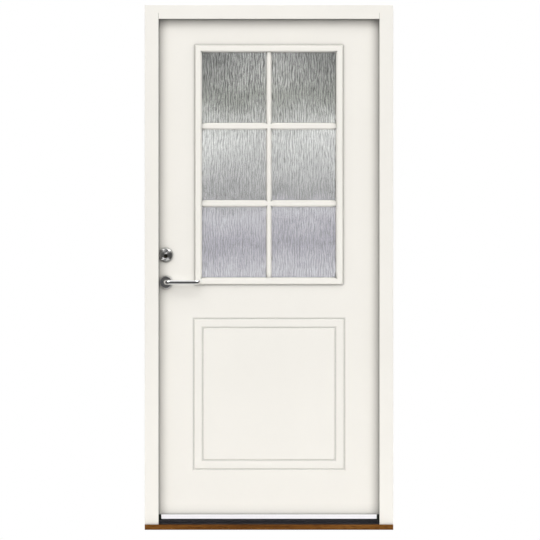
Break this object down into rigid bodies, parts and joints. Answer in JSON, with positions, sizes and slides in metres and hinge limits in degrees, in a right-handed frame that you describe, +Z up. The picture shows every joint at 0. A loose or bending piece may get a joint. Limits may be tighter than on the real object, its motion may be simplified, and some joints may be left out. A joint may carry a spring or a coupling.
{
  "type": "panelled front door",
  "caption": "Panelled front door hung in its timber frame, with a barred window over a grooved panel, lever handles, mortice lock, drip strip and hardwood sill.",
  "frame": {"origin": "middle of the frame's width and depth, on the underside of the sill", "axes": "+Z up, -Y towards the outside of the house, +X towards the hinges"},
  "size_m": [0.99, 0.185, 2.09],
  "materials": {
    "frame_paint": "satin",
    "leaf_paint": "satin",
    "bead_paint": "satin",
    "sill_wood": "satin",
    "dark_aluminium": "satin",
    "dark_composite": "matte",
    "white_aluminium": "satin",
    "black_rubber": "matte",
    "polished_chrome": "polished",
    "satin_chrome": "satin",
    "steel": "satin",
    "glass": "gloss",
    "spacer_plastic": "matte",
    "pine": "matte",
    "foam": "matte"
  },
  "bodies": {
    "frame": {"head": "frame_paint", "lock_jamb": "frame_paint", "hinge_jamb": "frame_paint", "sill": "sill_wood", "threshold_rail": "dark_aluminium", "threshold_seal": "black_rubber", "frame_seals": "black_rubber", "strike_plate": "steel", "hinge_top_frame_half": "steel", "hinge_middle_frame_half": "steel", "hinge_bottom_frame_half": "steel", "hinge_pins": "steel", "frame_screws": "steel"},
    "leaf": {"outer_skin": "leaf_paint", "inner_skin": "leaf_paint", "lock_stile": "pine", "hinge_stile": "pine", "top_rail": "pine", "bottom_rail": "pine", "insulation_core": "foam", "foot_profile": "dark_composite", "drip_strip": "white_aluminium", "outer_pane": "glass", "middle_pane": "glass", "inner_pane": "glass", "pane_spacers": "spacer_plastic", "glazing_seals": "black_rubber", "setting_blocks": "black_rubber", "outer_side_beads": "bead_paint", "outer_cross_beads": "bead_paint", "inner_side_beads": "bead_paint", "inner_cross_beads": "bead_paint", "outer_bar_post": "bead_paint", "outer_bar_rails": "bead_paint", "inner_bar_post": "bead_paint", "inner_bar_rails": "bead_paint", "glazing_screws": "steel", "lock_case": "steel", "lock_case_cover": "steel", "lock_forend": "steel", "outside_rose": "polished_chrome", "inside_rose": "polished_chrome", "cylinder_ring": "satin_chrome", "cylinder_body": "satin_chrome", "turn_rose": "satin_chrome", "furniture_bolts": "steel", "hinge_top_leaf_half": "steel", "hinge_middle_leaf_half": "steel", "hinge_bottom_leaf_half": "steel", "leaf_screws": "steel"},
    "handle": {"outside_lever": "polished_chrome", "inside_lever": "polished_chrome", "spindle": "steel", "follower": "steel"},
    "latch": {"latch_bolt": "steel"},
    "turn": {"thumb_turn": "satin_chrome", "bolt_cam": "steel"},
    "bolt": {"dead_bolt": "steel"},
    "plug": {"key_plug": "satin_chrome"}
  },
  "joints": [
    {"name": "door_swing", "type": "hinge", "parent": "frame", "child": "leaf", "pos_m": [0.463, 0.0615, 1.042], "axis": [0, 0, -1], "range_deg": [0, 110]},
    {"name": "handle_turn", "type": "hinge", "parent": "leaf", "child": "handle", "pos_m": [-0.411, 0.0215, 0.986], "axis": [0, 1, 0], "range_deg": [0, 40], "stiffness_Nm_per_rad": 1.5, "springref_deg": -28.65},
    {"name": "latch_slide", "type": "slide", "parent": "leaf", "child": "latch", "axis": [1, 0, 0], "range_m": [0, 0.012]},
    {"name": "thumb_turn", "type": "hinge", "parent": "leaf", "child": "turn", "pos_m": [-0.411, 0.0215, 1.09], "axis": [0, 1, 0], "range_deg": [0, 90]},
    {"name": "bolt_slide", "type": "slide", "parent": "leaf", "child": "bolt", "axis": [-1, 0, 0], "range_m": [0, 0.02]},
    {"name": "key_turn", "type": "hinge", "parent": "leaf", "child": "plug", "pos_m": [-0.411, 0, 1.09], "axis": [0, 1, 0], "range_deg": [0, 90]}
  ],
  "couplings": [
    {"joint": "latch_slide", "follows": "handle_turn", "m_per_rad": 0.017188},
    {"joint": "thumb_turn", "follows": "bolt_slide", "rad_per_m": 78.53}
  ]
}
